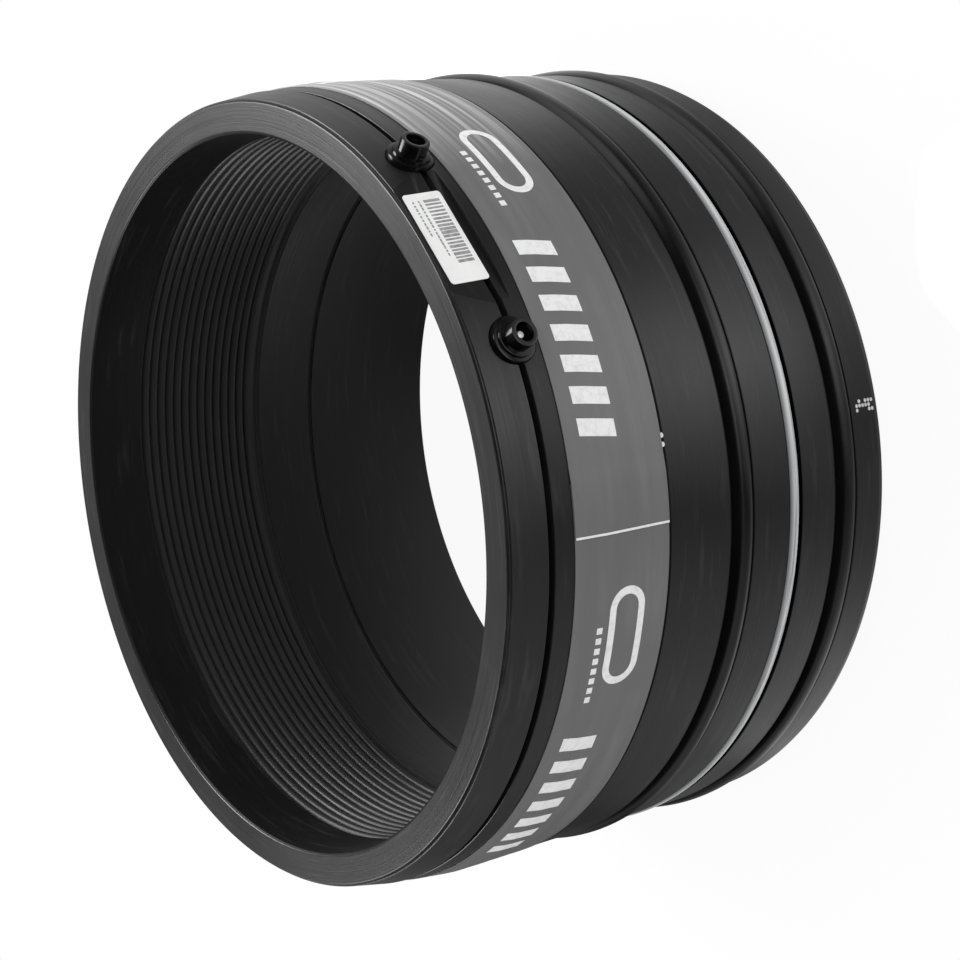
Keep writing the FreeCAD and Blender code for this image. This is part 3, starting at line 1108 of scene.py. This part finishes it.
def label_print_tree():
    """Bars of uneven width in a row, each one a thin box."""
    tree, given = new_tree(
        "label_bars", ("Count", "Int"), ("Length", "Float"), ("Height", "Float"), ("Thickness", "Float"),
        ("Widest", "Float"), ("Narrowest", "Float"), ("Seed", "Int"), ("Material", "Material"),
    )
    pitch = sums(tree, "DIVIDE", given["Length"], given["Count"])
    step = point(tree, pitch)
    line = add(tree, "GeometryNodeMeshLine", ("Count", given["Count"]), ("Offset", step)).outputs[0]
    size = point(tree, pitch, given["Thickness"], given["Height"])
    box = add(tree, "GeometryNodeMeshCube", ("Size", size)).outputs["Mesh"]
    sockets = ((2, given["Narrowest"]), (3, given["Widest"]), ("Seed", given["Seed"]))
    width = add(tree, "FunctionNodeRandomValue", *sockets, data_type="FLOAT").outputs[1]
    sockets = (("Points", line), ("Instance", box), ("Scale", point(tree, width, 1.0, 1.0)))
    end_tree(tree, add(tree, "GeometryNodeInstanceOnPoints", *sockets).outputs[0])
    return tree


label_half = label_length / 2
label_mesh = rounded_plate(label_half, label_width, label_corner, label_thickness, label_corner_steps)
label_mesh.transform(label_place)
tidied(label_mesh, label_crispness)
label = placed("seen_barcode_label", label_mesh)
label.data.materials.append(coated_paper())
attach(label, "root")
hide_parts("barcode_label")

bars_tree = label_print_tree()
thermal = thin_print("thermal_print", print_grey, print_faded, scale=420.0, low=0.35)
for name, count, length, height, middle, narrowest, widest, seed in (
    ("label_bars", 18, 0.0410, 0.0094, 0.0073, 0.45, 0.95, 4),
    ("label_dashes_a", 16, 0.0360, 0.0010, 0.0146, 0.40, 0.95, 11),
    ("label_dashes_b", 10, 0.0230, 0.0010, 0.0180, 0.40, 0.95, 12),
):
    row = grown(
        name, bars_tree, count=count, length=length, height=height, thickness=print_height,
        narrowest=narrowest, widest=widest, seed=seed, material=thermal,
    )
    start = label_half - print_margin - length
    sunk = -label_thickness - print_height / 3
    row.data.transform(label_place @ Matrix.Translation((start, sunk, middle)))
    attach(row, "root")


# Ink dots: two small groups of pale dots, jetted on the barrel.
# They are thin spots of pigment on the plastic, one group beside the tape and one near the plain end.
dot_sides = 12
dot_thickness = 0.00004
dot_pale = (0.80, 0.80, 0.80, 1)
dot_faint = (0.60, 0.60, 0.60, 1)


def dots_tree():
    """Grid of dots with some left out, bent round the barrel."""
    tree, given = new_tree(
        "jet_dots", ("Columns", "Int"), ("Rows", "Int"), ("Pitch", "Float"), ("Size", "Float"),
        ("Radius", "Float"), ("Keep", "Float"), ("Seed", "Int"), ("Sides", "Int"),
        ("Thickness", "Float"), ("Material", "Material"),
    )
    grid = add(
        tree, "GeometryNodeMeshGrid", ("Vertices X", given["Columns"]), ("Vertices Y", given["Rows"]),
        ("Size X", product(tree, given["Pitch"], sums(tree, "SUBTRACT", given["Columns"], 1.0))),
        ("Size Y", product(tree, given["Pitch"], sums(tree, "SUBTRACT", given["Rows"], 1.0))),
    ).outputs["Mesh"]
    sockets = (("Probability", given["Keep"]), ("Seed", given["Seed"]))
    kept = add(tree, "FunctionNodeRandomValue", *sockets, data_type="BOOLEAN").outputs[3]
    dot = add(
        tree, "GeometryNodeMeshCylinder", ("Vertices", given["Sides"]), ("Radius", given["Size"]),
        ("Depth", given["Thickness"]),
    ).outputs["Mesh"]
    sockets = (("Points", grid), ("Selection", kept), ("Instance", dot))
    copies = add(tree, "GeometryNodeInstanceOnPoints", *sockets).outputs[0]
    real = add(tree, "GeometryNodeRealizeInstances", ("Geometry", copies)).outputs[0]
    parts = split(tree, add(tree, "GeometryNodeInputPosition").outputs[0])
    angle = sums(tree, "DIVIDE", parts["X"], given["Radius"])
    radius = sums(tree, "ADD", given["Radius"], parts["Z"])
    end_tree(tree, moved_by(tree, real, bent_round(tree, radius, angle, parts["Y"]), "Position"))
    return tree


jet = thin_print("jet_ink", dot_pale, dot_faint, scale=900.0, low=0.4)
spots_tree = dots_tree()
for name, columns, rows, pitch, size, keep, angle, height, seed in (
    ("jet_dots_tape", 2, 1, 0.0046, 0.00135, 1.0, -120.0, 0.1600, 3),
    ("jet_dots_end", 3, 6, 0.0024, 0.00105, 0.85, -120.1, 0.0112, 8),
):
    dots = grown(
        name, spots_tree, columns=columns, rows=rows, pitch=pitch, size=size, radius=barrel_radius,
        keep=keep, seed=seed, sides=dot_sides, thickness=dot_thickness, material=jet,
    )
    dots.data.transform(lifted(height) @ Matrix.Rotation(math.radians(angle), 4, "Z"))
    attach(dots, "root")


# Studio: a white floor that keeps a faint shadow, a soft sky and two large soft lamps.
# In the gloss of the part the floor shows as rings of lighter and darker cards laid round it, and the
# sky as a dim backdrop with one bright card beside the part.
floor_white = (0.80, 0.80, 0.80, 1)
floor_half = 12.0
open_floor_reach = (0.28, 0.60)
open_floor_share = (0.93, 1.0)
bore_card_way = (-0.5, 0.87)
bore_card_reach = (0.02, 0.20)
bore_card_levels = (0.18, 0.62)
backdrop_way = (0.87, 0.50, 0.0)
backdrop_reach = (-0.1, 0.6)
backdrop_levels = (0.02, 0.30)
side_card_way = (0.80, -0.55, 0.24)
side_card_reach = (0.84, 0.96)
side_card_levels = (0.0, 1.30)
thrown_reach = (-0.8, 0.4)
thrown_levels = (0.80, 1.42)
camera_lens = 77.541
camera_sensor = 36
camera_place = Vector((-0.47854, -0.87024, 0.85214))
camera_aim = Vector((-0.01491, -0.00456, 0.11428))
camera_turn = math.radians(-100.165)
cards_peak = 3.0
card_rings = (
    (0.25, (
        (-180, 0.75), (-160, 0.80), (-141, 0.40), (-123, 0.28), (-105, 0.60), (-71, 0.32), (-41, 0.55),
        (-1, 2.60), (20, 1.80), (100, 0.20), (139, 0.12), (169, 0.26), (180, 0.75),
    )),
    (0.31, (
        (-180, 0.42), (-172, 0.44), (-150, 0.38), (-135, 0.18), (-122, 0.72), (-108.5, 1.70), (-84, 0.34),
        (-62, 0.28), (-36, 0.90), (20, 0.76), (100, 0.22), (144, 0.05), (166, 0.28), (180, 0.40),
    )),
    (0.42, (
        (-180, 0.38), (-172, 0.42), (-150, 0.36), (-135, 0.14), (-122, 0.66), (-108.5, 1.55), (-84, 0.32),
        (-62, 0.24), (-36, 0.85), (20, 0.66), (100, 0.22), (144, 0.05), (166, 0.26), (180, 0.36),
    )),
    (0.72, (
        (-180, 0.55), (-176, 0.55), (-152, 0.46), (-137, 0.06), (-122, 0.08), (-108, 0.30), (-81, 0.14),
        (-57, 0.02), (-24, 0.70), (20, 0.70), (100, 0.30), (135, 0.20), (159, 0.45), (180, 0.55),
    )),
    (1.10, (
        (-180, 0.60), (-176, 0.60), (-152, 0.50), (-137, 0.45), (-122, 1.60), (-108, 2.95), (-81, 0.34),
        (-57, 0.03), (-24, 0.80), (20, 0.70), (100, 0.30), (135, 0.20), (159, 0.45), (180, 0.60),
    )),
)


def ring_of_cards(tree, angle, cards):
    """Brightness round the part, from (azimuth in degrees, level) stops."""
    ramp = add(tree, "ShaderNodeValToRGB", ("Fac", ranged(tree, angle, -math.pi, math.pi)))
    stops = ramp.color_ramp.elements
    stops.remove(stops[-1])
    for index, (azimuth, level) in enumerate(cards):
        share = level / cards_peak
        stop = stops.new((azimuth + 180) / 360) if index else stops[0]
        stop.color = (share, share, share, 1)
    return product(tree, ramp.outputs["Color"], cards_peak)


def white_floor():
    """White to the camera, rings of cards to gloss, and matt white to the light that it throws back."""
    material, tree = bare_material("white_floor")
    seen = add(tree, "ShaderNodeLightPath").outputs
    place = add(tree, "ShaderNodeTexCoord").outputs["Object"]
    radius = across_and_up(tree, place)[0]
    parts = split(tree, place)
    angle = sums(tree, "ARCTAN2", parts["Y"], parts["X"])
    reached, cards = card_rings[0]
    card = ring_of_cards(tree, angle, cards)
    for distance, cards in card_rings[1:]:
        passed = ranged(tree, radius, reached, distance)
        card = blended(tree, passed, card, ring_of_cards(tree, angle, cards))
        reached = distance
    sideways = product(tree, parts["X"], bore_card_way[0])
    inwards = sums(tree, "ADD", sideways, product(tree, parts["Y"], bore_card_way[1]))
    in_bore = ranged(tree, inwards, *bore_card_reach, *bore_card_levels)
    outside = ranged(tree, radius, far_bore_radius, barrel_radius)
    shown = sums(tree, "MAXIMUM", blended(tree, outside, in_bore, card), seen["Is Camera Ray"])
    mirrored = sums(tree, "MAXIMUM", seen["Is Glossy Ray"], seen["Is Transmission Ray"])
    open_floor = ranged(tree, radius, *open_floor_reach, *open_floor_share)
    share = sums(tree, "ADD", product(tree, seen["Is Camera Ray"], open_floor), mirrored)
    matt = add(tree, "ShaderNodeBsdfDiffuse", ("Color", floor_white)).outputs[0]
    white = add(tree, "ShaderNodeEmission", ("Strength", shown)).outputs[0]
    mixed = add(tree, "ShaderNodeMixShader", ("Fac", share), (1, matt), (2, white)).outputs[0]
    add(tree, "ShaderNodeOutputMaterial", ("Surface", mixed))
    return material


def facing(tree, heading, way):
    """How far a heading points one way."""
    sockets = ((0, heading), (1, way))
    return add(tree, "ShaderNodeVectorMath", *sockets, operation="DOT_PRODUCT").outputs["Value"]


def soft_sky():
    """White to the camera, a dim backdrop and a bright card to gloss, and soft light from all round."""
    world = bpy.data.worlds.new("soft_sky")
    world.use_nodes = True
    tree = world.node_tree
    tree.nodes.clear()
    seen = add(tree, "ShaderNodeLightPath").outputs
    heading = add(tree, "ShaderNodeTexCoord").outputs["Generated"]
    backdrop = ranged(tree, facing(tree, heading, backdrop_way), *backdrop_reach, *backdrop_levels)
    side_card = ranged(tree, facing(tree, heading, side_card_way), *side_card_reach, *side_card_levels)
    mirrored = sums(tree, "MAXIMUM", backdrop, side_card)
    thrown = ranged(tree, split(tree, heading)["X"], *thrown_reach, *thrown_levels)
    level = blended(tree, seen["Is Glossy Ray"], thrown, mirrored)
    level = sums(tree, "MAXIMUM", level, seen["Is Camera Ray"])
    glow = add(tree, "ShaderNodeBackground", ("Strength", level)).outputs[0]
    add(tree, "ShaderNodeOutputWorld", ("Surface", glow))
    return world


floor_corners = [(x * floor_half, y * floor_half, 0) for x, y in ((-1, -1), (1, -1), (1, 1), (-1, 1))]
floor_mesh = bpy.data.meshes.new("floor")
floor_mesh.from_pydata(floor_corners, [], [(0, 1, 2, 3)])
floor = placed("floor", floor_mesh)
floor.data.materials.append(white_floor())
bpy.context.scene.world = soft_sky()

for name, azimuth, elevation, distance, size, power in (
    ("key_lamp", 24, 46, 2.6, 1.2, 46),
    ("fill_lamp", 100, 40, 2.6, 1.2, 21),
):
    lamp_data = bpy.data.lights.new(name, "AREA")
    lamp_data.shape = "DISK"
    lamp_data.size = size
    lamp_data.energy = power
    lamp = placed(name, lamp_data)
    turn = math.radians(azimuth)
    tilt = math.radians(elevation)
    outward = Vector((math.cos(turn) * math.cos(tilt), math.sin(turn) * math.cos(tilt), math.sin(tilt)))
    lamp.location = outward * distance + Vector((0, 0, rim_height / 2))
    lamp.rotation_mode = "QUATERNION"
    lamp.rotation_quaternion = (-outward).to_track_quat("-Z", "Y")

camera_data = bpy.data.cameras.new("camera")
camera_data.lens = camera_lens
camera_data.sensor_width = camera_sensor
camera = placed("camera", camera_data)
camera.location = camera_place
camera.rotation_mode = "QUATERNION"
level_view = (camera_aim - camera_place).to_track_quat("-Z", "Y")
camera.rotation_quaternion = level_view @ Quaternion((0, 0, 1), camera_turn)
bpy.context.scene.camera = camera
bpy.context.scene.view_settings.view_transform = "Standard"
